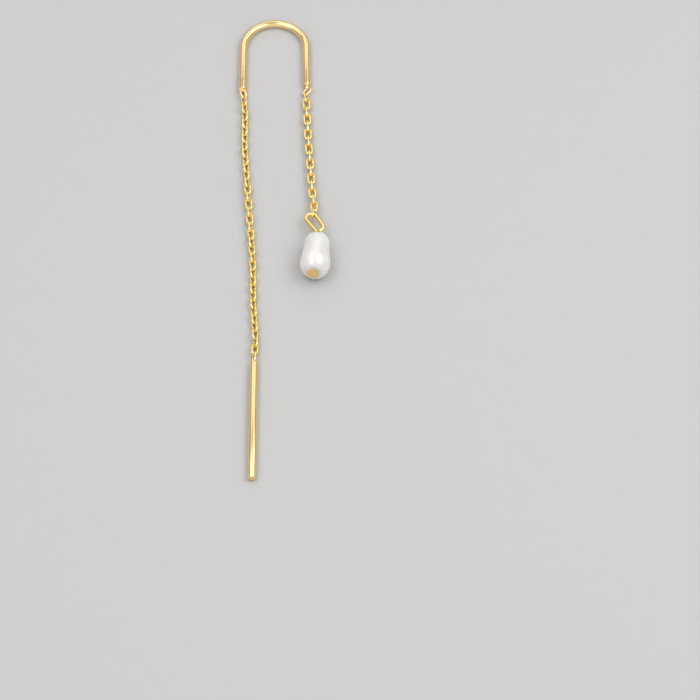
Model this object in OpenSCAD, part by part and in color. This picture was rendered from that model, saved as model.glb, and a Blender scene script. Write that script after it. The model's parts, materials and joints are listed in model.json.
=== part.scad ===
// Threader earring lying on a flat surface, in millimetres.
// A wire arch sits over the ear lobe. From its left leg a fine chain runs to a straight bar, which
// is threaded through the piercing. From its right leg a shorter chain holds a pearl on a head pin.
// +Z is up, +Y points to the top of the arch, and the surface is at z = 0.

/* [Ear arch] */
// Thickness of the arch wire
arch_wire_d = 0.95; // [0.8:0.05:1]
// Distance between the legs at the bend, from middle of wire to middle of wire
arch_w = 7.8; // [7:0.1:8.6]
// Straight length of the leg that carries the long chain
chain_leg_l = 6.7; // [5.5:0.1:7]
// Straight length of the leg that carries the drop
drop_leg_l = 6.1; // [5:0.1:6.5]
// Outward lean of each leg in degrees
leg_lean = 0.8; // [0.2:0.1:1.5]
// Diameter of the solder that joins a link to a wire end
solder_d = 0.5; // [0.4:0.05:0.6]

/* [Chain links] */
// Outer length of a link
link_l = 1.72; // [1.7:0.01:1.8]
// Outer width of a link
link_w = 1.1; // [1.06:0.01:1.2]
// Thickness of the link wire
link_wire_d = 0.22; // [0.18:0.01:0.23]
// Distance from the middle of one link to the middle of the next
link_pitch = 1.16; // [1.12:0.01:1.17]
// Loose links in the long chain
long_links = 34; // [30:1:38]
// Loose links in the drop chain
drop_links = 17; // [13:2:17]

/* [Threader bar] */
// Thickness of the bar
bar_d = 1.05; // [0.8:0.05:1.1]
// Length of the bar
bar_l = 17.1; // [14:0.1:20]
// Width of the chamfer round the bar's free end
bar_chamfer = 0.2; // [0.1:0.05:0.3]
// Sideways lean of the bar in degrees
bar_lean = 0.4; // [0:0.1:2]

/* [Head pin] */
// Thickness of the pin wire
pin_wire_d = 0.46; // [0.4:0.02:0.48]
// Diameter of the flat head below the pearl
head_d = 1.5; // [1.2:0.1:1.8]
// Thickness of the flat head
head_t = 0.15; // [0.1:0.05:0.3]

/* [Pearl] */
// Diameter of the big end
pearl_d = 3.78; // [3.5:0.02:4]
// Diameter of the small end
pearl_top_d = 3.18; // [3.08:0.02:3.3]
// Distance between the middles of the two ends
pearl_span = 3.2; // [3:0.1:3.4]
// Radius of the gently bulging side between the ends
pearl_side_r = 30; // [20:1:60]
// Diameter of the drilled hole
bore_d = 0.6; // [0.56:0.02:0.7]
// Turn of the drop on the surface in degrees, anticlockwise seen from above
drop_turn = -4; // [-8:1:2]

/* [Hidden] */
$fn = 48;
GOLD = "#EBC97A";
NACRE = "#EFEDE9";

// Extra turn of the first links of the drop chain on the surface, in degrees
DROP_SWAY = [-12, 8];
// Extra roll of the first links, in degrees, and the number of links over which it fades out
LONG_ROLL = -15;
LONG_FADE = 2;
DROP_ROLL = -35;
DROP_FADE = 4;
// Slow twist of the long chain: number of the link, and its extra roll in degrees
LONG_TWIST = [[11, 0], [14, 24], [18, 20], [20, 6], [22, 15], [25, 0], [31, 0], [35, -22]];

// Bent wire of the head pin from the flat head to its cut end, seen square to the eye.
// Columns: side, distance from the middle of the pearl's big end, bend radius there.
EYE = [
    [0, 0, 0], [0, 4.97, 0.35], [-1.74, 7.24, 0.5], [-1.45, 8.16, 0.35], [-0.55, 8.04, 0.35],
    [0.78, 5.85, 0.5], [0.1, 5.43, 0]
];
// Place on the eye wire where the last link of the drop chain hangs
EYE_HOOK = [-0.8, 8.07];
// Distance from the middle of that link back to the eye wire, and the link's turn on the surface
HOOK_BACK = 0.25;
HOOK_SWAY = -6;

// Middle of the link that is soldered to a leg: sideways from the leg, and how far the link's end
// is sunk into the leg's end
CHAIN_SEAT = [0.1, 0.3];
DROP_SEAT = [0.05, 0.18];
// Length of the solder below each leg and above the bar, and how far the bar's link is sunk into it
chain_solder_l = 0.1;
drop_solder_l = 0.25;
bar_solder_l = 0.1;
bar_link_bite = 0.04;

// Clear height under the rolled links, and clear room between the pearl and the flat head
rest_gap = 0.01;
gap = 0.03;
leg_chamfer = 0.1;
// A straight run of wire reaches this far into the bend next to it, and is this much thinner all round
seam = 0.02;
hair = 0.001;
solder_bite = 0.1;
pearl_flat = 1.48;
pearl_top_flat = 1.45;
pearl_edge_r = 0.6;
arc_steps = 10;
// A bore is cut this far past both faces
over = 1;

arch_r = arch_w / 2;
pearl_r = pearl_d / 2;
pearl_top_r = pearl_top_d / 2;

// Middle of the arc that bulges the pearl's side: across the axis, and along it from the big end
side_big = pearl_side_r - pearl_r;
side_top = pearl_side_r - pearl_top_r;
side_y = (pow(pearl_span, 2) + pow(side_big, 2) - pow(side_top, 2)) / (2 * pearl_span);
side_x = -sqrt(pow(side_big, 2) - pow(side_y, 2));

// The pearl lies on its side, with its axis dipping towards the small end
drop_dip = asin((pearl_r - pearl_top_r) / pearl_span);
pearl_z = side_x * cos(drop_dip) + side_y * sin(drop_dip) + pearl_side_r;
eye_z = pearl_z - EYE_HOOK[1] * sin(drop_dip);

// Rest height of a link that is rolled 45 degrees, and of one that stands upright
long_rest_z = (link_w - link_wire_d) / 2 * sin(45) + link_wire_d / 2 + rest_gap;
drop_rest_z = link_w / 2;

// The chains as routes from the middle of the soldered first link, with x to the side, y along the
// earring, and the lift above the height at which the links rest on the surface.
LONG_ROUTE = [
    [0, 0, 0.04], [0.25, -3.4, 0.02], [0.25, -8.4, 0], [0.53, -12.7, 0.01], [0.75, -16.2, 0.1],
    [1, -20, 0.1], [1.4, -26, 0.07], [1.45, -29.2, 0.01], [1.5, -32.4, 0], [1.85, -38, 0.055],
    [1.7, -40.5, 0.1]
];
drop_end = -(drop_links + 0.2) * link_pitch;
DROP_ROUTE = [
    [0, 0, -0.1], [-0.1, -1.17, -0.03], [-0.05, -2.35, 0],
    [0.13, 0.35 * drop_end, 0], [0.4, 0.58 * drop_end, 0], [0.6, drop_end + 5.15, 0.05],
    [0.78, drop_end + 2.95, 0.2], [0.92, drop_end + 1.45, 0.4], [0.84, drop_end, eye_z - drop_rest_z]
];

// Foot of a leg, with side -1 for the left one and 1 for the right one
function leg_foot(side, leg_l) = [
    side * (arch_r * cos(leg_lean) + leg_l * sin(leg_lean)),
    arch_r * sin(leg_lean) - leg_l * cos(leg_lean),
    0
];
chain_foot = leg_foot(-1, chain_leg_l);
drop_foot = leg_foot(1, drop_leg_l);
long_start = chain_foot + [CHAIN_SEAT[0], CHAIN_SEAT[1] - link_l / 2, long_rest_z];
drop_start = drop_foot + [DROP_SEAT[0], DROP_SEAT[1] - link_l / 2, drop_rest_z];

// Point at distance s along a route, which goes straight on past its ends
function stretch(route, i) = norm(route[i + 1] - route[i]);
function walk(route, s, i = 0) =
    i == len(route) - 2 || s <= stretch(route, i)
        ? route[i] + (route[i + 1] - route[i]) * s / stretch(route, i)
        : walk(route, s - stretch(route, i), i + 1);
function link_at(start, route, i) = start + walk(route, i * link_pitch);

// Rolls about the chain's own line: neighbours stand nearly square to each other
function long_roll(i) =
    (i % 2 == 0 ? 45 : -45) + LONG_ROLL * max(0, 1 - i / LONG_FADE) + lookup(i, LONG_TWIST);
function drop_roll(i) = (i % 2 == 0 ? 0 : 90) + DROP_ROLL * max(0, 1 - i / DROP_FADE);

// The bar hangs on from the last, soldered link of the long chain
bar_link = link_at(long_start, LONG_ROUTE, long_links + 1);
bar_dir = [-sin(bar_lean), -cos(bar_lean), 0];
bar_top = [bar_link[0], bar_link[1], 0] + bar_dir * (link_l / 2 - bar_link_bite);

// Middle of the pearl's big end: the eye wire runs through the last loose link of the drop chain
hook = link_at(drop_start, DROP_ROUTE, drop_links) - [0, HOOK_BACK, 0];
hook_side = [cos(drop_turn), sin(drop_turn)] * EYE_HOOK[0];
hook_along = [-sin(drop_turn), cos(drop_turn)] * EYE_HOOK[1] * cos(drop_dip);
pearl_x = hook[0] - hook_side[0] - hook_along[0];
pearl_y = hook[1] - hook_side[1] - hook_along[1];

// The origin is under the middle of the whole earring
x_low = chain_foot[0] - arch_wire_d / 2 * cos(leg_lean);
x_high = pearl_x + pearl_r;
y_low = bar_top[1] - bar_l * cos(bar_lean) - bar_d / 2 * sin(bar_lean);
y_high = arch_r + arch_wire_d / 2;
layout_shift = [-(x_low + x_high) / 2, -(y_low + y_high) / 2, 0];

// One link, its length along Y: two straight sides and two half-round ends
module link() {
    straight = link_l - link_w;
    bend_r = (link_w - link_wire_d) / 2;
    for (side = [-1, 1])
        translate([side * bend_r, 0, 0])
            rotate([90, 0, 0])
                cylinder(d = link_wire_d, h = straight, center = true);
    for (turn = [0, 180])
        rotate([0, 0, turn])
            translate([0, straight / 2, 0])
                rotate_extrude(angle = 180)
                    translate([bend_r, 0])
                        circle(d = link_wire_d);
}

// A link in its place in a chain, along the line from the next link to the one before
module placed_link(start, route, i, roll, sway = 0) {
    line = link_at(start, route, i - 1) - link_at(start, route, i + 1);
    translate(link_at(start, route, i))
        rotate([0, 0, atan2(-line[0], line[1]) + sway])
            rotate([asin(line[2] / norm(line)), 0, 0])
                rotate([0, roll, 0])
                    link();
}

function drop_sway(i) = i < len(DROP_SWAY) ? DROP_SWAY[i] : i == drop_links ? HOOK_SWAY : 0;
module placed_drop_link(i)
    placed_link(drop_start, DROP_ROUTE, i, drop_roll(i), drop_sway(i));

module placed_long_link(i)
    placed_link(long_start, LONG_ROUTE, i, long_roll(i));

// Round rod along -Y from the origin, with a chamfer at its far end
module rod(d, l, chamfer) {
    rotate([90, 0, 0]) {
        cylinder(d = d, h = l - chamfer);
        translate([0, 0, l - chamfer])
            cylinder(d1 = d, d2 = d - 2 * chamfer, h = chamfer);
    }
}

// Solder from inside a wire end, along -Y, over the end of a link
module solder(l)
    translate([0, solder_bite, 0])
        rotate([90, 0, 0])
            cylinder(d = solder_d, h = l + solder_bite);

// Headings, turns and trimmed corners of a wire that is bent at the points of a flat outline
function heading(p, i) = atan2(p[i + 1][1] - p[i][1], p[i + 1][0] - p[i][0]);
function wrapped(a) = a > 180 ? a - 360 : a < -180 ? a + 360 : a;
function turn_at(p, i) = wrapped(heading(p, i) - heading(p, i - 1));
function trim_at(p, i) =
    i == 0 || i == len(p) - 1 ? 0 : p[i][2] * tan(abs(turn_at(p, i)) / 2);

module bent_wire(p, d) {
    for (i = [0 : len(p) - 2]) {
        reach = norm([p[i + 1][0] - p[i][0], p[i + 1][1] - p[i][1]]);
        straight = reach - trim_at(p, i) - trim_at(p, i + 1);
        translate([p[i][0], p[i][1], 0])
            rotate([0, 0, heading(p, i)])
                translate([trim_at(p, i) - seam, 0, 0])
                    rotate([0, 90, 0])
                        cylinder(r = d / 2 - hair, h = straight + 2 * seam);
    }
    for (i = [1 : len(p) - 2]) {
        turn = turn_at(p, i);
        way_in = heading(p, i - 1);
        bend_r = p[i][2];
        translate([p[i][0], p[i][1], 0])
            rotate([0, 0, way_in])
                translate([-trim_at(p, i), sign(turn) * bend_r, 0])
                    rotate([0, 0, -90 * sign(turn) + min(turn, 0)])
                        rotate_extrude(angle = abs(turn))
                            translate([bend_r, 0])
                                circle(d = d);
    }
}

// Puts what is drawn along +Y from the middle of the pearl's big end where the drop lies
module on_drop()
    translate([pearl_x, pearl_y, pearl_z])
        rotate([0, 0, drop_turn])
            rotate([-drop_dip, 0, 0])
                children();

module ear_arch() {
    color(GOLD) translate(layout_shift) {
        translate([0, 0, arch_wire_d / 2]) {
            rotate([0, 0, leg_lean])
                rotate_extrude(angle = 180 - 2 * leg_lean)
                    translate([arch_r, 0])
                        circle(d = arch_wire_d);
            for (leg = [[-1, chain_leg_l], [1, drop_leg_l]])
                translate([leg[0] * arch_r * cos(leg_lean), arch_r * sin(leg_lean), 0])
                    rotate([0, 0, leg[0] * leg_lean])
                        translate([0, seam, 0])
                            rod(arch_wire_d - 2 * hair, leg[1] + seam, leg_chamfer);
            translate(chain_foot)
                solder(chain_solder_l);
            translate(drop_foot)
                solder(drop_solder_l);
        }
        placed_long_link(0);
        placed_drop_link(0);
    }
}

module long_chain() {
    color(GOLD) translate(layout_shift)
        for (i = [1 : long_links])
            placed_long_link(i);
}

module drop_chain() {
    color(GOLD) translate(layout_shift)
        for (i = [1 : drop_links])
            placed_drop_link(i);
}

module threader_bar() {
    color(GOLD) translate(layout_shift) {
        translate(bar_top + [0, 0, bar_d / 2])
            rotate([0, 0, -bar_lean]) {
                rod(bar_d, bar_l, bar_chamfer);
                rotate([0, 0, 180])
                    solder(bar_solder_l);
            }
        placed_long_link(long_links + 1);
    }
}

module head_pin() {
    stem_start = -pearl_flat - gap - head_t / 2;
    wire = [for (i = [0 : len(EYE) - 1]) i == 0 ? [0, stem_start, 0] : EYE[i]];
    color(GOLD) translate(layout_shift) on_drop() {
        translate([0, -pearl_flat - gap, 0])
            rotate([90, 0, 0])
                cylinder(d = head_d, h = head_t);
        bent_wire(wire, pin_wire_d);
    }
}

// Points of an arc round [0, y] from angle a to angle b
function arc(x, y, r, a, b) =
    [for (k = [0 : arc_steps]) let (t = a + (b - a) * k / arc_steps) [x + r * cos(t), y + r * sin(t)]];
// Side offset of the arc that rounds the edge between an end of radius r and its flat
function edge_x(r, flat) = sqrt(pow(r - pearl_edge_r, 2) - pow(flat - pearl_edge_r, 2));

module pearl() {
    big_x = edge_x(pearl_r, pearl_flat);
    top_x = edge_x(pearl_top_r, pearl_top_flat);
    big_a = atan2(pearl_edge_r - pearl_flat, big_x);
    top_a = atan2(pearl_top_flat - pearl_edge_r, top_x);
    side_a = atan2(-side_y, -side_x);
    side_b = atan2(pearl_span - side_y, -side_x);
    profile = concat(
        [[0, -pearl_flat]],
        arc(big_x, pearl_edge_r - pearl_flat, pearl_edge_r, -90, big_a),
        arc(0, 0, pearl_r, big_a, side_a),
        arc(side_x, side_y, pearl_side_r, side_a, side_b),
        arc(0, pearl_span, pearl_top_r, side_b, top_a),
        arc(top_x, pearl_span + pearl_top_flat - pearl_edge_r, pearl_edge_r, top_a, 90),
        [[0, pearl_span + pearl_top_flat]]
    );
    color(NACRE) translate(layout_shift) on_drop()
        rotate([-90, 0, 0]) difference() {
            rotate_extrude()
                polygon(profile);
            translate([0, 0, -pearl_flat - over])
                cylinder(d = bore_d, h = pearl_flat + pearl_span + pearl_top_flat + 2 * over);
        }
}

ear_arch();
long_chain();
threader_bar();
drop_chain();
head_pin();
pearl();
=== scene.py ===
# %% [markdown]
# A threader earring lies on a pale surface. It is made of five metal pieces and a pearl: the ear arch, a
# long fine chain, the straight bar that is threaded through the piercing, a short chain, the head pin and
# the pearl on it. The construction model gives each piece its place. Here each one is modelled again as it
# is made at the bench, with round wire, soft solder and a worn polish. We begin by loading the
# construction model as a fixed frame.

import json
import math

import bmesh
import bpy
import numpy as np
from mathutils import Matrix, Vector

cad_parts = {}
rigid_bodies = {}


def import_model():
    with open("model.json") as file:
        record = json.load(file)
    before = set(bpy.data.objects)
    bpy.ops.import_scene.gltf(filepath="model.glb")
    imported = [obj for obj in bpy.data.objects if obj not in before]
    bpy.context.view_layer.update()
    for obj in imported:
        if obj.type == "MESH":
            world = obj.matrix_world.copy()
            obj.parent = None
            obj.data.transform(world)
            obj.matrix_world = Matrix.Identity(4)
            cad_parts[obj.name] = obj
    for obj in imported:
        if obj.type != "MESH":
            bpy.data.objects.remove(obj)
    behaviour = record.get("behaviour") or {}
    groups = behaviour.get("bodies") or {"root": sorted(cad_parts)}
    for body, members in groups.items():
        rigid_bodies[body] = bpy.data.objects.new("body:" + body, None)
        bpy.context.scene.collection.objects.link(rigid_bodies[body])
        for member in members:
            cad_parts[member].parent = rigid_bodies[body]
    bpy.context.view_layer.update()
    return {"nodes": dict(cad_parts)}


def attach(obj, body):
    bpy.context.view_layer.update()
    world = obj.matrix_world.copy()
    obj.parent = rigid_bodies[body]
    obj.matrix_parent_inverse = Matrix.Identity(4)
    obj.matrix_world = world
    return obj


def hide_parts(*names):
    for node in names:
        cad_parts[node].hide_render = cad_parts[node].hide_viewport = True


for leftover in list(bpy.data.objects):
    bpy.data.objects.remove(leftover)
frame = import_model()
MM = 0.001
UP = Vector((0, 0, 1))
HAIR = 0.01 * MM
SQUARE = 0.99
print("frame nodes:", sorted(frame["nodes"]))

# %% [markdown]
# The earring is so small that all sizes below are written in millimetres and multiplied by MM. Two places
# closer than a HAIR count as the same, and a face counts as square to a direction when its normal's share
# along it is at least SQUARE. The places come from the frame. A node's vertices can be read at any time,
# so one helper gives the corners of the stretch of a node that passes a test, and that is enough to find
# the arch's middle, the ends of its legs and the ends of the bar.

# %% Measure a stretch of a node
def node_points(node):
    """All vertices of a frame node, as rows of x, y and z."""
    return np.array([vertex.co for vertex in frame["nodes"][node].data.vertices])


def corners(points):
    """Lowest and highest corner of some points."""
    return Vector(points.min(0)), Vector(points.max(0))


wire_d = 0.95 * MM
arch_r = 3.9 * MM
above_legs = 0.5 * MM
arch_points = node_points("ear_arch")
arch_top = arch_points[:, 1].max() - wire_d / 2
arch_y = arch_top - arch_r
bend_low, bend_high = corners(arch_points[arch_points[:, 1] > arch_y + above_legs])
arch_x = (bend_low.x + bend_high.x) / 2
arch_middle = Vector((arch_x, arch_y, wire_d / 2))
print("middle of the arch in mm:", [round(v / MM, 3) for v in arch_middle])

# %% [markdown]
# The camera stands in front of the bar's free end and looks down at 54 degrees through a long lens. A long
# lens far away keeps the earring's two sides parallel. The place on the surface that the camera aims at is
# worked out from one sight line: the middle of the arch has to show at a known place in a picture of 700
# pixels. The arch lies 27 mm beyond that place along the sight line, and there a millimetre is 8 pixels
# wide.

# %% Camera
picture_px = 700
sensor_mm = 36
look_down = math.radians(54)
camera_far = 800 * MM
arch_beyond = 27 * MM
pixels_per_m = 8.0 / MM
arch_pixel = (275.0, 48.25)

sine, cosine = math.sin(look_down), math.cos(look_down)
focal_px = pixels_per_m * (camera_far + arch_beyond)
half_px = picture_px / 2
slope = (half_px - arch_pixel[1]) / focal_px
lift = arch_middle.z
ahead = (slope * (camera_far - lift * sine) - lift * cosine) / (sine - slope * cosine)
depth = camera_far + ahead * cosine - lift * sine
aside = (arch_pixel[0] - half_px) / focal_px * depth
aim = Vector((arch_middle.x - aside, arch_middle.y - ahead, 0))
gaze = Vector((0, cosine, -sine))

camera_turn = gaze.to_track_quat("-Z", "Y").to_euler()
bpy.ops.object.camera_add(location=aim - gaze * camera_far, rotation=camera_turn)
camera = bpy.context.object
camera.name = "camera"
camera.data.sensor_width = sensor_mm
camera.data.lens = focal_px * sensor_mm / picture_px
camera.data.clip_start = 50 * MM
camera.data.clip_end = 6
bpy.context.scene.camera = camera
print("camera aims at mm", [round(v / MM, 2) for v in aim], "lens", round(camera.data.lens, 1))

# %% [markdown]
# The surface is a plain pale grey board. It is one large plane, so that it fills the view from low angles
# too, and it is part of the stage and not of the earring. Two helpers come first: one turns a colour as it
# is seen on a screen into the values that the renderer works in, and one adds a material node together
# with its settings and links.

# %% Colours and nodes
def linear(hex_colour, alpha=1.0):
    """An sRGB hex colour such as "#E8C478" as the linear values that the renderer works in."""
    parts = [int(hex_colour[i:i + 2], 16) / 255 for i in (1, 3, 5)]
    return [p / 12.92 if p <= 0.04045 else ((p + 0.055) / 1.055) ** 2.4 for p in parts] + [alpha]


def add_node(material, kind, settings=None, links=None):
    """Adds one node, fills in its settings and sockets, and links its inputs to other nodes' outputs."""
    tree = material.node_tree
    node = tree.nodes.new(kind)
    for key, value in (settings or {}).items():
        if isinstance(key, str) and hasattr(node, key):
            setattr(node, key, value)
        else:
            node.inputs[key].default_value = value
    for key, output in (links or {}).items():
        tree.links.new(output, node.inputs[key])
    return node


def new_material(name):
    """An empty node material, with its output node."""
    material = bpy.data.materials.new(name)
    material.use_nodes = True
    material.node_tree.nodes.clear()
    return material, add_node(material, "ShaderNodeOutputMaterial")


# %% Surface
board_size = 4
bpy.ops.object.select_all(action="DESELECT")
bpy.ops.mesh.primitive_plane_add(size=board_size, location=(aim.x, aim.y, 0))
board = bpy.context.object
board.name = board.data.name = "board"
board_finish, board_out = new_material("painted_board")
board_shader = add_node(
    board_finish, "ShaderNodeBsdfPrincipled",
    {"Base Color": linear("#BABABA"), "Roughness": 0.75},
)
board_finish.node_tree.links.new(board_shader.outputs[0], board_out.inputs["Surface"])
board.data.materials.append(board_finish)
print("board is", board_size, "m wide")

# %% [markdown]
# Small polished metal shows only what surrounds it. Two soft lights stand close by, to the left and right
# above the earring. A large weak one behind it closes the gap between them, and one in front lifts the
# lower half of the pearl. The pearl shows the two near lights as two pale patches that meet at the top,
# and each wire as a bright stripe with darker edges. A small lamp on the right gives the bar its second,
# finer stripe. An even grey all around fills the shadows. A light's brightness is given as what a mirror
# would show of it, where 1 is white. The dark strip is the camera with its arm: nothing in the picture but
# its thin reflection, on top of the arch and as a notch in the pearl's gloss.

# %% Lights
def soft_light(name, towards, far, size, brightness):
    """A rectangular soft light in a direction from the earring, facing it."""
    way = Vector(towards).normalized()
    facing = way.to_track_quat("Z", "Y").to_euler()
    bpy.ops.object.light_add(type="AREA", location=aim + way * far, rotation=facing)
    light = bpy.context.object
    light.name = light.data.name = name
    light.data.shape = "RECTANGLE"
    light.data.size, light.data.size_y = size
    light.data.energy = brightness * math.pi * size[0] * size[1]
    light.visible_camera = False
    return light


# Name, direction, distance, size and brightness, with lengths in metres
soft_light("soft_light_left", (-0.40, -0.02, 0.92), 0.42, (0.40, 0.28), 1.8)
soft_light("soft_light_right", (0.55, 0.03, 0.83), 0.41, (0.40, 0.28), 2.2)
soft_light("soft_light_back", (0.0, 0.75, 0.66), 0.9, (1.3, 0.5), 0.75)
soft_light("soft_light_front", (0.0, -0.8, 0.6), 0.9, (2.2, 1.3), 0.45)
soft_light("soft_light_side", (0.33, 0.45, 0.83), 0.40, (0.06, 0.10), 0.6)

strip_way = Vector((0, -0.45, 0.89)).normalized()
strip_far = 0.5
strip_size = (0.24, 0.08, 1)
strip_turn = strip_way.to_track_quat("Z", "Y").to_euler()
bpy.ops.object.select_all(action="DESELECT")
bpy.ops.mesh.primitive_plane_add(size=1, location=aim + strip_way * strip_far, rotation=strip_turn)
camera_arm = bpy.context.object
camera_arm.name = camera_arm.data.name = "camera_arm"
camera_arm.scale = strip_size
camera_arm.visible_camera = camera_arm.visible_shadow = camera_arm.visible_diffuse = False
dark_paint, dark_out = new_material("black_paint")
dark_shader = add_node(
    dark_paint, "ShaderNodeBsdfPrincipled", {"Base Color": linear("#1C1A18"), "Roughness": 0.6}
)
dark_paint.node_tree.links.new(dark_shader.outputs[0], dark_out.inputs["Surface"])
camera_arm.data.materials.append(dark_paint)

world = bpy.data.worlds.new("studio")
world.use_nodes = True
surround = world.node_tree.nodes["Background"]
surround.inputs["Color"].default_value = linear("#FFFFFF")
surround.inputs["Strength"].default_value = 0.45
bpy.context.scene.world = world
bpy.context.scene.view_settings.view_transform = "Standard"

# %% [markdown]
# All five metal pieces are brass wire with a polished plating of pale yellow gold. The wire was drawn
# through a die, which leaves hair-fine lines along it, and the polishing wheel leaves a slightly wavy
# skin. So the highlights are bright but soft at their edges, and they wander a little along the wire. Gold
# tints what it reflects, which is why a metal needs hardly any texture of its own: its colour is its
# reflection colour. There are three finishes. The arch and the bar are polished on the wheel. The chains
# and the head pin are tumbled in a barrel, which leaves them smoother. Their finish is also given a deeper,
# more saturated tone, which is painted shade: the deep colour that gold takes where it reflects gold,
# between the small links and in the eye. The struck face of the pin's head is satin, so it is even and has
# no highlight.

# %% Gold plate
patch_size = 1.4 * MM
wave_size = 0.9 * MM
wave_depth = 0.012 * MM
line_stretch = 0.04


def gold_material(name, colour, deep_colour, shine, dull, line_mm, line_depth):
    """Plate on drawn brass: a base tone that varies a little, soft gloss, and lines along the wire."""
    material, out = new_material(name)
    place = add_node(material, "ShaderNodeTexCoord").outputs["Object"]
    patches = add_node(
        material, "ShaderNodeTexNoise", {"Scale": 1 / patch_size, "Detail": 3.0, "Roughness": 0.55},
        {"Vector": place},
    )
    tone = add_node(
        material, "ShaderNodeMix",
        {"data_type": "RGBA", 6: linear(deep_colour), 7: linear(colour)}, {0: patches.outputs["Fac"]},
    )
    gloss = add_node(
        material, "ShaderNodeMapRange", {"From Min": 0.3, "From Max": 0.7, "To Min": shine, "To Max": dull},
        {"Value": patches.outputs["Fac"]},
    )
    across_lines = 1 / (line_mm * MM)
    along = add_node(
        material, "ShaderNodeMapping", {"Scale": (across_lines, line_stretch * across_lines, across_lines)},
        {"Vector": place},
    )
    lines = add_node(
        material, "ShaderNodeTexNoise", {"Scale": 1.0, "Detail": 2.0, "Roughness": 0.6},
        {"Vector": along.outputs["Vector"]},
    )
    waves = add_node(
        material, "ShaderNodeTexNoise", {"Scale": 1 / wave_size, "Detail": 1.0}, {"Vector": place}
    )
    line_bump = add_node(
        material, "ShaderNodeBump", {"Strength": 1.0, "Distance": line_depth * MM},
        {"Height": lines.outputs["Fac"]},
    )
    wave_bump = add_node(
        material, "ShaderNodeBump", {"Strength": 1.0, "Distance": wave_depth},
        {"Height": waves.outputs["Fac"], "Normal": line_bump.outputs["Normal"]},
    )
    shader = add_node(
        material, "ShaderNodeBsdfPrincipled", {"Metallic": 1.0},
        {
            "Base Color": tone.outputs[2], "Roughness": gloss.outputs["Result"],
            "Normal": wave_bump.outputs["Normal"],
        },
    )
    material.node_tree.links.new(shader.outputs[0], out.inputs["Surface"])
    return material


# Name, colour and deeper colour, least and most roughness, spacing and depth of the lines in millimetres
polished_gold = gold_material("polished_gold_plate", "#FFE3AA", "#FBD898", 0.14, 0.22, 0.06, 0.0010)
# The chains' finish has a deeper, more saturated tone, painted shade for the gold reflected between links
gold_with_painted_shade = gold_material("gold_plate_with_painted_shade", "#FFE8A6", "#F6D67E", 0.10, 0.18, 0.05, 0.0004)
satin_gold = gold_material("satin_gold_plate", "#FFDD98", "#FCD38A", 0.36, 0.44, 0.05, 0.0020)
print("metal finishes:", polished_gold.name, gold_with_painted_shade.name, satin_gold.name)

# %% [markdown]
# Wire is modelled the way it is drawn and bent. A flat disc of the wire's section is added, its face is
# extruded for each straight run, and it is spun round a centre for each bend. A curve with a round bevel
# would also do, but the spin keeps even rings in the bends and only two rings in the straight runs, and
# the ends are real faces to work on.

# %% Bench helpers
def select_only(piece):
    """Leaves one object selected and active."""
    if bpy.context.object and bpy.context.object.mode != "OBJECT":
        bpy.ops.object.mode_set(mode="OBJECT")
    bpy.ops.object.select_all(action="DESELECT")
    piece.select_set(True)
    bpy.context.view_layer.objects.active = piece


def edit_faces(piece, wanted):
    """Opens a piece in edit mode and selects the faces whose middle and normal pass a test."""
    select_only(piece)
    bpy.ops.object.mode_set(mode="EDIT")
    bpy.ops.mesh.select_mode(type="FACE")
    bpy.ops.mesh.select_all(action="DESELECT")
    shape = bmesh.from_edit_mesh(piece.data)
    for face in shape.faces:
        face.select_set(bool(wanted(face.calc_center_median(), face.normal)))
    bmesh.update_edit_mesh(piece.data)


def tidy_mesh(piece, merge=0.0002 * MM):
    """Merges doubles and turns all faces outwards."""
    select_only(piece)
    bpy.ops.object.mode_set(mode="EDIT")
    bpy.ops.mesh.select_all(action="SELECT")
    bpy.ops.mesh.remove_doubles(threshold=merge)
    bpy.ops.mesh.normals_make_consistent(inside=False)
    bpy.ops.object.mode_set(mode="OBJECT")


def smooth(piece, angle=40):
    """Smooth shading, with an edge kept sharp where it turns more than the angle in degrees."""
    select_only(piece)
    bpy.ops.object.shade_smooth_by_angle(angle=math.radians(angle))


def finish_piece(piece, material, node):
    """Gives a piece its finish and lets it stand for its construction node."""
    piece.data.materials.clear()
    piece.data.materials.append(material)
    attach(piece, "root")
    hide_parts(node)
    print(piece.name, "has", len(piece.data.polygons), "faces")


# %% Draw and bend wire
def start_wire(name, start, heading, thickness, sides=24):
    """A disc of wire section at the start, left in edit mode with its face selected."""
    bpy.ops.object.select_all(action="DESELECT")
    bpy.ops.mesh.primitive_circle_add(
        vertices=sides, radius=thickness / 2, fill_type="NGON", location=start,
        rotation=heading.to_track_quat("Z", "Y").to_euler(),
    )
    wire = bpy.context.object
    wire.name = wire.data.name = name
    bpy.ops.object.transform_apply(location=True, rotation=True, scale=True)
    bpy.ops.object.mode_set(mode="EDIT")
    bpy.ops.mesh.select_mode(type="FACE")
    bpy.ops.mesh.select_all(action="SELECT")
    return wire


def run_on(end, heading, length):
    """Extrudes the wire's end straight on, and returns where the end is now."""
    bpy.ops.mesh.extrude_region_move(TRANSFORM_OT_translate={"value": heading * length})
    return end + heading * length


def bend(end, heading, radius, turn, step=9):
    """Spins the wire's end round, to the left seen from above for a turn above 0 in degrees."""
    side = UP.cross(heading) * math.copysign(1, turn)
    centre = end + side * radius
    steps = max(2, math.ceil(abs(turn) / step))
    bpy.ops.mesh.spin(steps=steps, angle=-math.radians(turn), center=centre, axis=UP)
    turned = Matrix.Rotation(math.radians(turn), 3, UP)
    return centre + turned @ (end - centre), turned @ heading


# %% [markdown]
# The links of both chains are alike: each is a short length of wire, bent round into a long oval and
# soldered shut. One is drawn with the same two helpers, two straight runs and two half turns, and then its
# two end discs are removed and its ends are merged. The chain machine has pressed the links: their sides
# are a little wider towards the hole than round wire would be, and a little taller. The link is modelled
# once, flat and centred on the origin, and copied.

# %% One link
link_l = 1.77 * MM
link_w = 1.1 * MM
link_wire_d = 0.3 * MM
pressed_in = 0.07 * MM
pressed_up = 1.15


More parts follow.
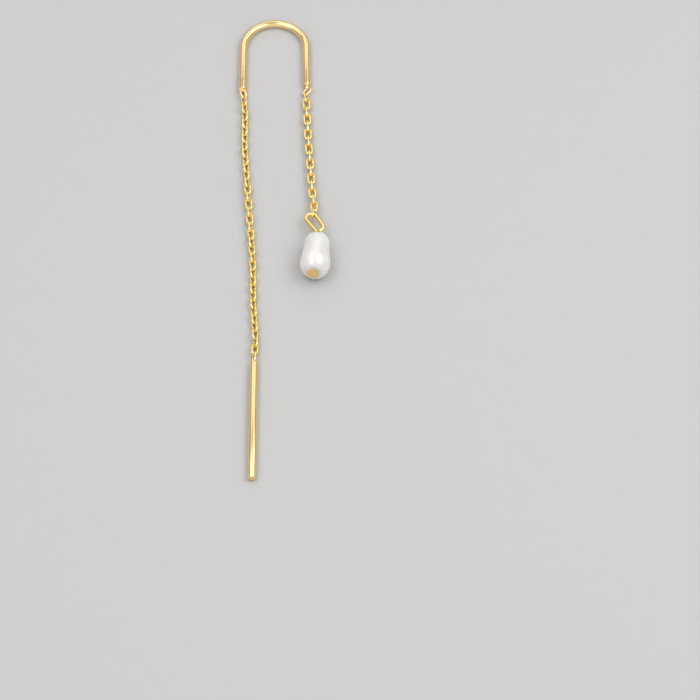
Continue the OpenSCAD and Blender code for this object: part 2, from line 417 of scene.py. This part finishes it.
def make_link(name, length, width, thickness):
    """A closed link of round wire, its length along Y."""
    bend_r = (width - thickness) / 2
    straight = length - width
    end, heading = Vector((bend_r, -straight / 2, 0)), Vector((0, 1, 0))
    piece = start_wire(name, end, heading, thickness, sides=12)
    for half in range(2):
        end = run_on(end, heading, straight)
        end, heading = bend(end, heading, bend_r, 180, step=18)
    edit_faces(
        piece, lambda middle, normal: abs(middle.y + straight / 2) < HAIR and abs(normal.y) > SQUARE
    )
    bpy.ops.mesh.delete(type="ONLY_FACE")
    tidy_mesh(piece)
    return piece


def press_side(piece, side, bend_r, straight):
    """Moves the inner half of one side of a link towards the hole. side is 1 for +X and -1 for -X."""
    select_only(piece)
    bpy.ops.object.mode_set(mode="EDIT")
    bpy.ops.mesh.select_mode(type="VERT")
    bpy.ops.mesh.select_all(action="DESELECT")
    shape = bmesh.from_edit_mesh(piece.data)
    for vertex in shape.verts:
        across, along = vertex.co.x * side, abs(vertex.co.y)
        vertex.select_set(0 < across < bend_r - HAIR and along < straight / 2 + HAIR)
    shape.select_flush_mode()
    bmesh.update_edit_mesh(piece.data)
    bpy.ops.transform.translate(value=(-side * pressed_in, 0, 0))
    bpy.ops.object.mode_set(mode="OBJECT")


link = make_link("link", link_l, link_w, link_wire_d)
for side in (-1, 1):
    press_side(link, side, (link_w - link_wire_d) / 2, link_l - link_w)
bpy.ops.transform.resize(value=(1, 1, pressed_up))
bpy.ops.object.transform_apply(location=True, rotation=True, scale=True)
smooth(link, 60)
print("link size in mm:", [round(v / MM, 3) for v in link.dimensions], len(link.data.polygons), "faces")

# %% [markdown]
# A chain lies as it fell: each link is turned a quarter turn to its neighbours, and the whole chain
# wanders. The construction model already has every link in its place, so the places are read from it. A
# copy of the node is merged and parted into its loose links. In each one the vertices are spread least
# square to the link's plane. Of the two other directions of their spread, the one nearer to Y is the
# link's length, because both chains run along Y. The links that hang in a soldered link or in the eye are
# of thinner wire and not pressed, so that they fit in there.

# %% Where the links lie
def link_place(points):
    """The matrix that carries a link, modelled flat with its length along Y, to where these points lie."""
    ways = np.linalg.eigh(np.cov((points - points.mean(0)).T))[1]
    square = Vector(ways[:, 0])
    along = max((Vector(ways[:, 1]), Vector(ways[:, 2])), key=lambda way: abs(way.y))
    along = along if along.y > 0 else -along
    across = along.cross(square).normalized()
    turn = Matrix((across, along, across.cross(along))).transposed()
    local = points @ np.array(turn)
    middle = turn @ Vector((local.min(0) + local.max(0)) / 2)
    return Matrix.Translation(middle) @ turn.to_4x4()


def loose_link_places(node):
    """The places of a chain node's loose links, from the arch's end to the other."""
    source = frame["nodes"][node]
    copy = bpy.data.objects.new("parted", source.data.copy())
    bpy.context.scene.collection.objects.link(copy)
    select_only(copy)
    bpy.ops.object.mode_set(mode="EDIT")
    bpy.ops.mesh.select_all(action="SELECT")
    bpy.ops.mesh.remove_doubles(threshold=0.001 * MM)
    bpy.ops.mesh.separate(type="LOOSE")
    bpy.ops.object.mode_set(mode="OBJECT")
    parts = list(bpy.context.selected_objects)
    places = [link_place(np.array([v.co for v in part.data.vertices])) for part in parts]
    bpy.ops.object.delete()
    return sorted(places, key=lambda place: -place.translation.y)


def lay_link(name, place, pattern=link):
    """A copy of the link, with its own mesh, laid at a place."""
    copy = bpy.data.objects.new(name, pattern.data.copy())
    bpy.context.scene.collection.objects.link(copy)
    copy.data.transform(place)
    return copy


def join_pieces(name, parts):
    """Joins parts into one piece."""
    bpy.ops.object.select_all(action="DESELECT")
    for part in parts:
        part.select_set(True)
    bpy.context.view_layer.objects.active = parts[0]
    bpy.ops.object.join()
    parts[0].name = parts[0].data.name = name
    return parts[0]


long_places = loose_link_places("long_chain")
drop_places = loose_link_places("drop_chain")
print("loose links:", len(long_places), "and", len(drop_places))

# %% Long chain and drop chain
open_wire_d = 0.26 * MM
open_link = make_link("open_link", link_l, link_w, open_wire_d)
smooth(open_link, 60)


def lay_chain(name, places, open_ones):
    """A chain of links at their places. The links at the numbers in open_ones are open links."""
    links = [lay_link("link_copy", place) for i, place in enumerate(places) if i not in open_ones]
    return join_pieces(name, links + [lay_link("link_copy", places[i], open_link) for i in open_ones])


long_chain = lay_chain("fine_chain", long_places, [0])
finish_piece(long_chain, gold_with_painted_shade, "long_chain")
drop_chain = lay_chain("short_chain", drop_places, [0, len(drop_places) - 1])
finish_piece(drop_chain, gold_with_painted_shade, "drop_chain")
bpy.data.objects.remove(open_link)

# %% [markdown]
# The first link of each chain is soldered to a leg of the arch, and the last link of the long chain to the
# bar. The solder has run into a small rounded bead between the wire's end and the link. Wire, bead and
# link are three closed shapes, and a union makes one skin of them, as the solder does. Only the part of
# the link that sticks out is found in the node, so its place comes from that part and is then moved so
# that its free end lies on the node's.

# %% Solder
def soldered_link(node, wanted, free_end, pattern=link, pattern_l=link_l):
    """A link laid over a stretch of a node. free_end is 1 where its free end is towards +Y, else -1."""
    points = node_points(node)
    points = points[[bool(wanted(*p)) for p in points]]
    place = link_place(points)
    along = place.to_3x3() @ Vector((0, free_end, 0))
    reach = max(Vector(p).dot(along) for p in points)
    place.translation += along * (reach - pattern_l / 2 - place.translation.dot(along))
    return lay_link("soldered_link", place, pattern)


def solder_bead(middle, heading, thickness, length):
    """A rounded bead of solder, longer than it is thick, along a heading."""
    bpy.ops.object.select_all(action="DESELECT")
    bpy.ops.mesh.primitive_uv_sphere_add(
        segments=24, ring_count=16, radius=thickness / 2, location=middle,
        rotation=heading.to_track_quat("Z", "Y").to_euler(), scale=(1, 1, length / thickness),
    )
    bead = bpy.context.object
    bead.name = bead.data.name = "solder"
    bpy.ops.object.transform_apply(location=True, rotation=True, scale=True)
    return bead


def solder_on(piece, *others):
    """Unites pieces with a main one into one closed skin."""
    for other in others:
        select_only(piece)
        bpy.ops.object.modifier_add(type="BOOLEAN")
        union = piece.modifiers[-1]
        union.operation = "UNION"
        union.solver = "EXACT"
        union.object = other
        bpy.ops.object.modifier_apply(modifier=union.name)
        bpy.data.objects.remove(other)
    tidy_mesh(piece)
    return piece


# %% [markdown]
# The ear arch is one length of 0.95 mm wire: up one leg, round a half circle and down the other leg, with
# the legs leaning a little outwards. Its ends were cut square and broken with a file, so they get a small
# bevel.

# %% Ear arch
leg_lean = math.radians(0.8)
chain_leg_l = 6.7 * MM
drop_leg_l = 6.1 * MM
end_bevel = 0.08 * MM


def break_end(wire, end, heading, size):
    """Bevels the rim of the flat face at a wire's end."""
    edit_faces(
        wire, lambda middle, normal: (middle - end).length < HAIR and abs(normal.dot(heading)) > SQUARE
    )
    bpy.ops.mesh.select_mode(type="EDGE")
    bpy.ops.mesh.bevel(offset=size, segments=3, profile=0.5)
    bpy.ops.object.mode_set(mode="OBJECT")


up_leg = Vector((math.sin(leg_lean), math.cos(leg_lean), 0))
bend_start = arch_middle + Vector((-math.cos(leg_lean), math.sin(leg_lean), 0)) * arch_r
chain_foot = bend_start - up_leg * chain_leg_l
ear_arch = start_wire("ear_wire", chain_foot, up_leg, wire_d, sides=32)
end = run_on(chain_foot, up_leg, chain_leg_l)
end, down_leg = bend(end, up_leg, arch_r, -(180 - 2 * math.degrees(leg_lean)), step=3)
drop_foot = run_on(end, down_leg, drop_leg_l)
tidy_mesh(ear_arch)
break_end(ear_arch, chain_foot, up_leg, end_bevel)
break_end(ear_arch, drop_foot, down_leg, end_bevel)
print("feet in mm:", [round(v / MM, 2) for v in chain_foot], [round(v / MM, 2) for v in drop_foot])

# %% [markdown]
# The long chain is soldered on by a link like all others. The drop chain is soldered on by a small round
# ring, turned a little, that hangs a bit lower than the link in the construction model. The construction
# model's solder reaches a known way below each leg, and only the vertices past that belong to the link
# alone.

# %% Solder the arch to its links
chain_solder_l = 0.1 * MM
drop_solder_l = 0.25 * MM
past_solder = 0.02 * MM
ring_l = 1.5 * MM
ring_w = 1.0 * MM
ring_wire_d = 0.28 * MM
ring_turn = math.radians(15)
ring_lower = 0.08 * MM
ring = make_link("ring", ring_l, ring_w, ring_wire_d)
ring.data.transform(Matrix.Rotation(ring_turn, 4, "Y"))
chain_link_y = chain_foot.y - chain_solder_l - past_solder
drop_link_y = drop_foot.y - drop_solder_l - past_solder
chain_side = soldered_link("ear_arch", lambda x, y, z: x < arch_x and y < chain_link_y, -1)
drop_side = soldered_link("ear_arch", lambda x, y, z: x > arch_x and y < drop_link_y, -1, ring, ring_l)
bpy.data.objects.remove(ring)
drop_side.data.transform(Matrix.Translation(down_leg * ring_lower))
ear_arch = solder_on(
    ear_arch,
    chain_side,
    drop_side,
    solder_bead(chain_foot - up_leg * 0.06 * MM, up_leg, thickness=0.52 * MM, length=0.5 * MM),
    solder_bead(drop_foot + down_leg * 0.16 * MM, down_leg, thickness=0.5 * MM, length=0.66 * MM),
)
smooth(ear_arch)
finish_piece(ear_arch, polished_gold, "ear_arch")

# %% [markdown]
# The threader bar is a straight rod of 1.05 mm. Its free end goes through the ear, so it has a wide
# chamfer that the polishing has rounded, and only a small flat face is left. Its direction and its two
# ends are found from the node: the middle of the vertices at its free end, and the middle of those just
# below the soldered link.

# %% Threader bar
bar_d = 1.05 * MM
bar_l = 17.1 * MM
free_bevel = 0.24 * MM
top_bevel = 0.12 * MM
end_band = 0.02 * MM
top_band = 0.03 * MM
solder_reach = 0.13 * MM
bar_points = node_points("threader_bar")
free_y = bar_points[:, 1].min()
free_low, free_high = corners(bar_points[bar_points[:, 1] < free_y + end_band])
top_low, top_high = corners(bar_points[abs(bar_points[:, 1] - free_y - bar_l) < top_band])
bar_end = Vector(((free_low.x + free_high.x) / 2, free_y, bar_d / 2))
bar_top = Vector(((top_low.x + top_high.x) / 2, free_y + bar_l, bar_d / 2))
bar_way = (bar_end - bar_top).normalized()
threader_bar = start_wire("straight_bar", bar_top, bar_way, bar_d, sides=32)
bar_end = run_on(bar_top, bar_way, (bar_end - bar_top).length)
tidy_mesh(threader_bar)
break_end(threader_bar, bar_end, bar_way, free_bevel)
break_end(threader_bar, bar_top, bar_way, top_bevel)
bar_side = soldered_link("threader_bar", lambda x, y, z: y > bar_top.y + solder_reach, 1)
bar_bead = solder_bead(bar_top - bar_way * 0.06 * MM, bar_way, thickness=0.5 * MM, length=0.5 * MM)
threader_bar = solder_on(threader_bar, bar_side, bar_bead)
smooth(threader_bar)
finish_piece(threader_bar, polished_gold, "threader_bar")
print("bar runs from", [round(v / MM, 2) for v in bar_top], "to", [round(v / MM, 2) for v in bar_end])

# %% [markdown]
# The drop lies on its side: its axis is turned 4 degrees on the surface and dips towards the small end of
# the pearl. The head pin and the pearl are therefore modelled along Y around the middle of the pearl's big
# end, where bends and turnings are simple, and then carried to their place together by one matrix that is
# worked out from the pearl node.

# %% Where the drop lies
drop_turn = math.radians(-4)
pearl_r = 1.89 * MM
pearl_top_r = 1.59 * MM
pearl_span = 3.2 * MM
pearl_flat = 1.48 * MM
pearl_top_flat = 1.45 * MM
drop_dip = math.asin((pearl_r - pearl_top_r) / pearl_span)

drop_tilt = Matrix.Rotation(drop_turn, 3, "Z") @ Matrix.Rotation(-drop_dip, 3, "X")
in_drop = node_points("pearl") @ np.array(drop_tilt)
drop_low, drop_high = corners(in_drop)
in_middle = (drop_low + drop_high) / 2
in_middle.y = drop_low.y + pearl_flat
drop_place = Matrix.Translation(drop_tilt @ in_middle) @ drop_tilt.to_4x4()
print("middle of the pearl's big end in mm:", [round(v / MM, 3) for v in drop_place.translation])

# %% [markdown]
# The head pin is 0.56 mm wire with a flat round head. Past the pearl it is bent aside, turned back in a
# pointed loop and tucked in behind its own stem. The corners of the loop are listed with the radius of
# each bend, because that is how pliers make it, and each corner's straight run is shortened by what the
# bend takes up.

# %% Bend a wire round corners
pin_wire_d = 0.56 * MM


def bend_round(name, corners_mm, thickness, sides):
    """A wire bent at each corner but the first and last. Corners are (side, along, bend radius) in mm."""
    points = [Vector((side, along, 0)) * MM for side, along, radius in corners_mm]
    ways = [(b - a).normalized() for a, b in zip(points, points[1:])]
    turns = [math.degrees(a.xy.angle_signed(b.xy)) * -1 for a, b in zip(ways, ways[1:])]
    trims = [0] + [
        corner[2] * MM * math.tan(math.radians(abs(turn)) / 2) for corner, turn in zip(corners_mm[1:], turns)
    ] + [0]
    wire = start_wire(name, points[0], ways[0], thickness, sides)
    end = points[0]
    for i, way in enumerate(ways):
        length = (points[i + 1] - points[i]).length - trims[i] - trims[i + 1]
        end = run_on(end, way, length)
        if i < len(turns):
            end, _ = bend(end, way, corners_mm[i + 1][2] * MM, turns[i], step=7)
    bpy.ops.object.mode_set(mode="OBJECT")
    return wire, end, ways[-1]


# %% Head pin
pin_bevel = 0.05 * MM
# Columns: side, along, bend radius, in millimetres from the middle of the pearl's big end
eye_corners = [
    (0, -1.5, 0), (0, 4.97, 0.35), (-1.74, 7.24, 0.65), (-1.45, 8.16, 0.5),
    (-0.55, 8.04, 0.5), (0.78, 5.85, 0.6), (0.1, 5.43, 0)
]
pin_wire, pin_end, pin_way = bend_round("head_pin_wire", eye_corners, pin_wire_d, 24)
tidy_mesh(pin_wire)
break_end(pin_wire, pin_end, pin_way, pin_bevel)

# %% [markdown]
# The head was struck in a die: a thin disc with a flat face and a soft rounded rim. It is a cylinder whose
# outer face is inset and drawn out a little, and whose back rim is bevelled. It is satin, not mirror
# bright, because the die's face is rarely polished.

# %% Flat head
head_d = 1.5 * MM
head_t = 0.08 * MM
head_y = -pearl_flat - head_t / 2
head_off = Vector((-0.14, 0, -0.09)) * MM
rim_w = 0.09 * MM
rim_rise = 0.015 * MM
back_bevel = 0.025 * MM
bpy.ops.object.select_all(action="DESELECT")
bpy.ops.mesh.primitive_cylinder_add(
    vertices=64, radius=head_d / 2, depth=head_t, location=head_off + Vector((0, head_y, 0)),
    rotation=(math.radians(90), 0, 0),
)
flat_head = bpy.context.object
bpy.ops.object.transform_apply(location=True, rotation=True, scale=True)
edit_faces(flat_head, lambda middle, normal: normal.y < -SQUARE)
bpy.ops.mesh.inset(thickness=rim_w)
bpy.ops.transform.translate(value=(0, -rim_rise, 0))
edit_faces(flat_head, lambda middle, normal: normal.y > SQUARE)
bpy.ops.mesh.select_mode(type="EDGE")
bpy.ops.mesh.bevel(offset=back_bevel, segments=3)
bpy.ops.object.mode_set(mode="OBJECT")
head_pin = solder_on(pin_wire, flat_head)
head_pin.name = head_pin.data.name = "head_pin_with_eye"
head_pin.data.transform(drop_place)
smooth(head_pin, 35)
finish_piece(head_pin, gold_with_painted_shade, "head_pin")
head_pin.data.materials.append(satin_gold)
head_pin.active_material_index = 1
to_drop = drop_place.inverted()
edit_faces(head_pin, lambda middle, normal: (to_drop @ middle).y < -pearl_flat)
bpy.ops.object.material_slot_assign()
bpy.ops.object.mode_set(mode="OBJECT")
print("satin faces on the head:", sum(face.material_index for face in head_pin.data.polygons))

# %% [markdown]
# The pearl is drop-shaped, with a big and a small round end. It is built up as on a lathe: a ring at the
# rim of the drilled hole is extruded from station to station along the axis and resized to the pearl's
# radius there, and then the hole is drawn through. The radius comes from a formula: two balls, the cone
# that touches both, and a shallow waist, with a rounded edge where each end was ground flat for the drill.

# %% Pearl outline
bore_d = 0.6 * MM
waist_depth = 0.04 * MM
waist_at = 1.9 * MM
waist_half = 0.9 * MM
edge_r = 0.6 * MM
cone_sine = (pearl_r - pearl_top_r) / pearl_span
cone_cosine = math.sqrt(1 - cone_sine ** 2)


def pearl_radius(y):
    """Radius of the pearl at a distance along its axis from the middle of the big end."""
    if y < pearl_r * cone_sine:
        outline = math.sqrt(pearl_r ** 2 - y ** 2)
    elif y < pearl_span + pearl_top_r * cone_sine:
        outline = (pearl_r - y * cone_sine) / cone_cosine
    else:
        outline = math.sqrt(pearl_top_r ** 2 - (y - pearl_span) ** 2)
    return outline - waist_depth * math.exp(-(((y - waist_at) / waist_half) ** 2))


def edge_stations(ball_y, ball_r, flat, side, steps=8):
    """Stations (along, radius) of the edge between a flat end and its ball. side is -1 for the big end."""
    ring_r = math.sqrt((ball_r - edge_r) ** 2 - (flat - edge_r) ** 2)
    ring_y = flat - edge_r
    meets = math.atan2(ring_y, ring_r)
    angles = [math.pi / 2 + (meets - math.pi / 2) * step / steps for step in range(steps + 1)]
    return [(ball_y + side * (ring_y + edge_r * math.sin(t)), ring_r + edge_r * math.cos(t)) for t in angles]


# %% Pearl
big_edge = edge_stations(0, pearl_r, pearl_flat, -1)
top_edge = edge_stations(pearl_span, pearl_top_r, pearl_top_flat, 1)
first_y, last_y = big_edge[-1][0], top_edge[-1][0]
side_steps = 40
side_ys = [first_y + (last_y - first_y) * step / side_steps for step in range(1, side_steps)]
stations = big_edge + [(y, pearl_radius(y)) for y in side_ys] + top_edge[::-1]
bpy.ops.object.select_all(action="DESELECT")
bpy.ops.mesh.primitive_circle_add(
    vertices=96, radius=bore_d / 2, fill_type="NOTHING", location=(0, -pearl_flat, 0),
    rotation=(math.radians(90), 0, 0),
)
pearl = bpy.context.object
pearl.name = pearl.data.name = "drop_pearl"
bpy.ops.object.transform_apply(location=True, rotation=True, scale=True)
bpy.ops.object.mode_set(mode="EDIT")
bpy.ops.mesh.select_mode(type="EDGE")
bpy.ops.mesh.select_all(action="SELECT")
y, radius = -pearl_flat, bore_d / 2
for next_y, next_radius in stations + [(pearl_span + pearl_top_flat, bore_d / 2), (-pearl_flat, bore_d / 2)]:
    bpy.ops.mesh.extrude_region_move(TRANSFORM_OT_translate={"value": (0, next_y - y, 0)})
    growth = next_radius / radius
    bpy.ops.transform.resize(value=(growth, 1, growth), center_override=(0, next_y, 0))
    y, radius = next_y, next_radius
bpy.ops.object.mode_set(mode="OBJECT")
tidy_mesh(pearl)
pearl.data.transform(drop_place)
smooth(pearl, 60)

# %% [markdown]
# Nacre is a stack of thin clear layers over a white core. Light goes far into it and comes back warm and
# soft, so the shaded half stays bright. The many layers reflect more than glass does: a wide soft gloss
# lies under a sharper one, and the studio lights show as pale patches without hard edges. The shader has a
# white body that light passes through, a soft gloss at the index of shell, and a strong clear coat for the
# sharper reflection.

# %% Nacre
cloud_size = 1.6 * MM
skin_size = 0.5 * MM
skin_depth = 0.006 * MM
light_reach = 6.0 * MM
nacre, nacre_out = new_material("pearl_nacre")
nacre_place = add_node(nacre, "ShaderNodeTexCoord").outputs["Object"]
clouds = add_node(
    nacre, "ShaderNodeTexNoise", {"Scale": 1 / cloud_size, "Detail": 2.0}, {"Vector": nacre_place}
)
nacre_tone = add_node(
    nacre, "ShaderNodeMix", {"data_type": "RGBA", 6: linear("#E6DBD3"), 7: linear("#EAE4DF")},
    {0: clouds.outputs["Fac"]},
)
skin = add_node(
    nacre, "ShaderNodeTexNoise", {"Scale": 1 / skin_size, "Detail": 2.0}, {"Vector": nacre_place}
)
skin_bump = add_node(
    nacre, "ShaderNodeBump", {"Strength": 1.0, "Distance": skin_depth}, {"Height": skin.outputs["Fac"]}
)
nacre_shader = add_node(
    nacre, "ShaderNodeBsdfPrincipled",
    {
        "Roughness": 0.25, "IOR": 1.68, "Subsurface Weight": 1.0, "Subsurface Scale": light_reach,
        "Subsurface Radius": (1.0, 0.95, 0.9), "Coat Weight": 1.0, "Coat Roughness": 0.13,
        "Coat IOR": 1.8, "Specular IOR Level": 0.4,
    },
    {"Base Color": nacre_tone.outputs[2], "Normal": skin_bump.outputs["Normal"]},
)
nacre.node_tree.links.new(nacre_shader.outputs[0], nacre_out.inputs["Surface"])
finish_piece(pearl, nacre, "pearl")

# %% [markdown]
# The single link was only a pattern, so it goes.

# %% Remove the pattern link
bpy.data.objects.remove(link)
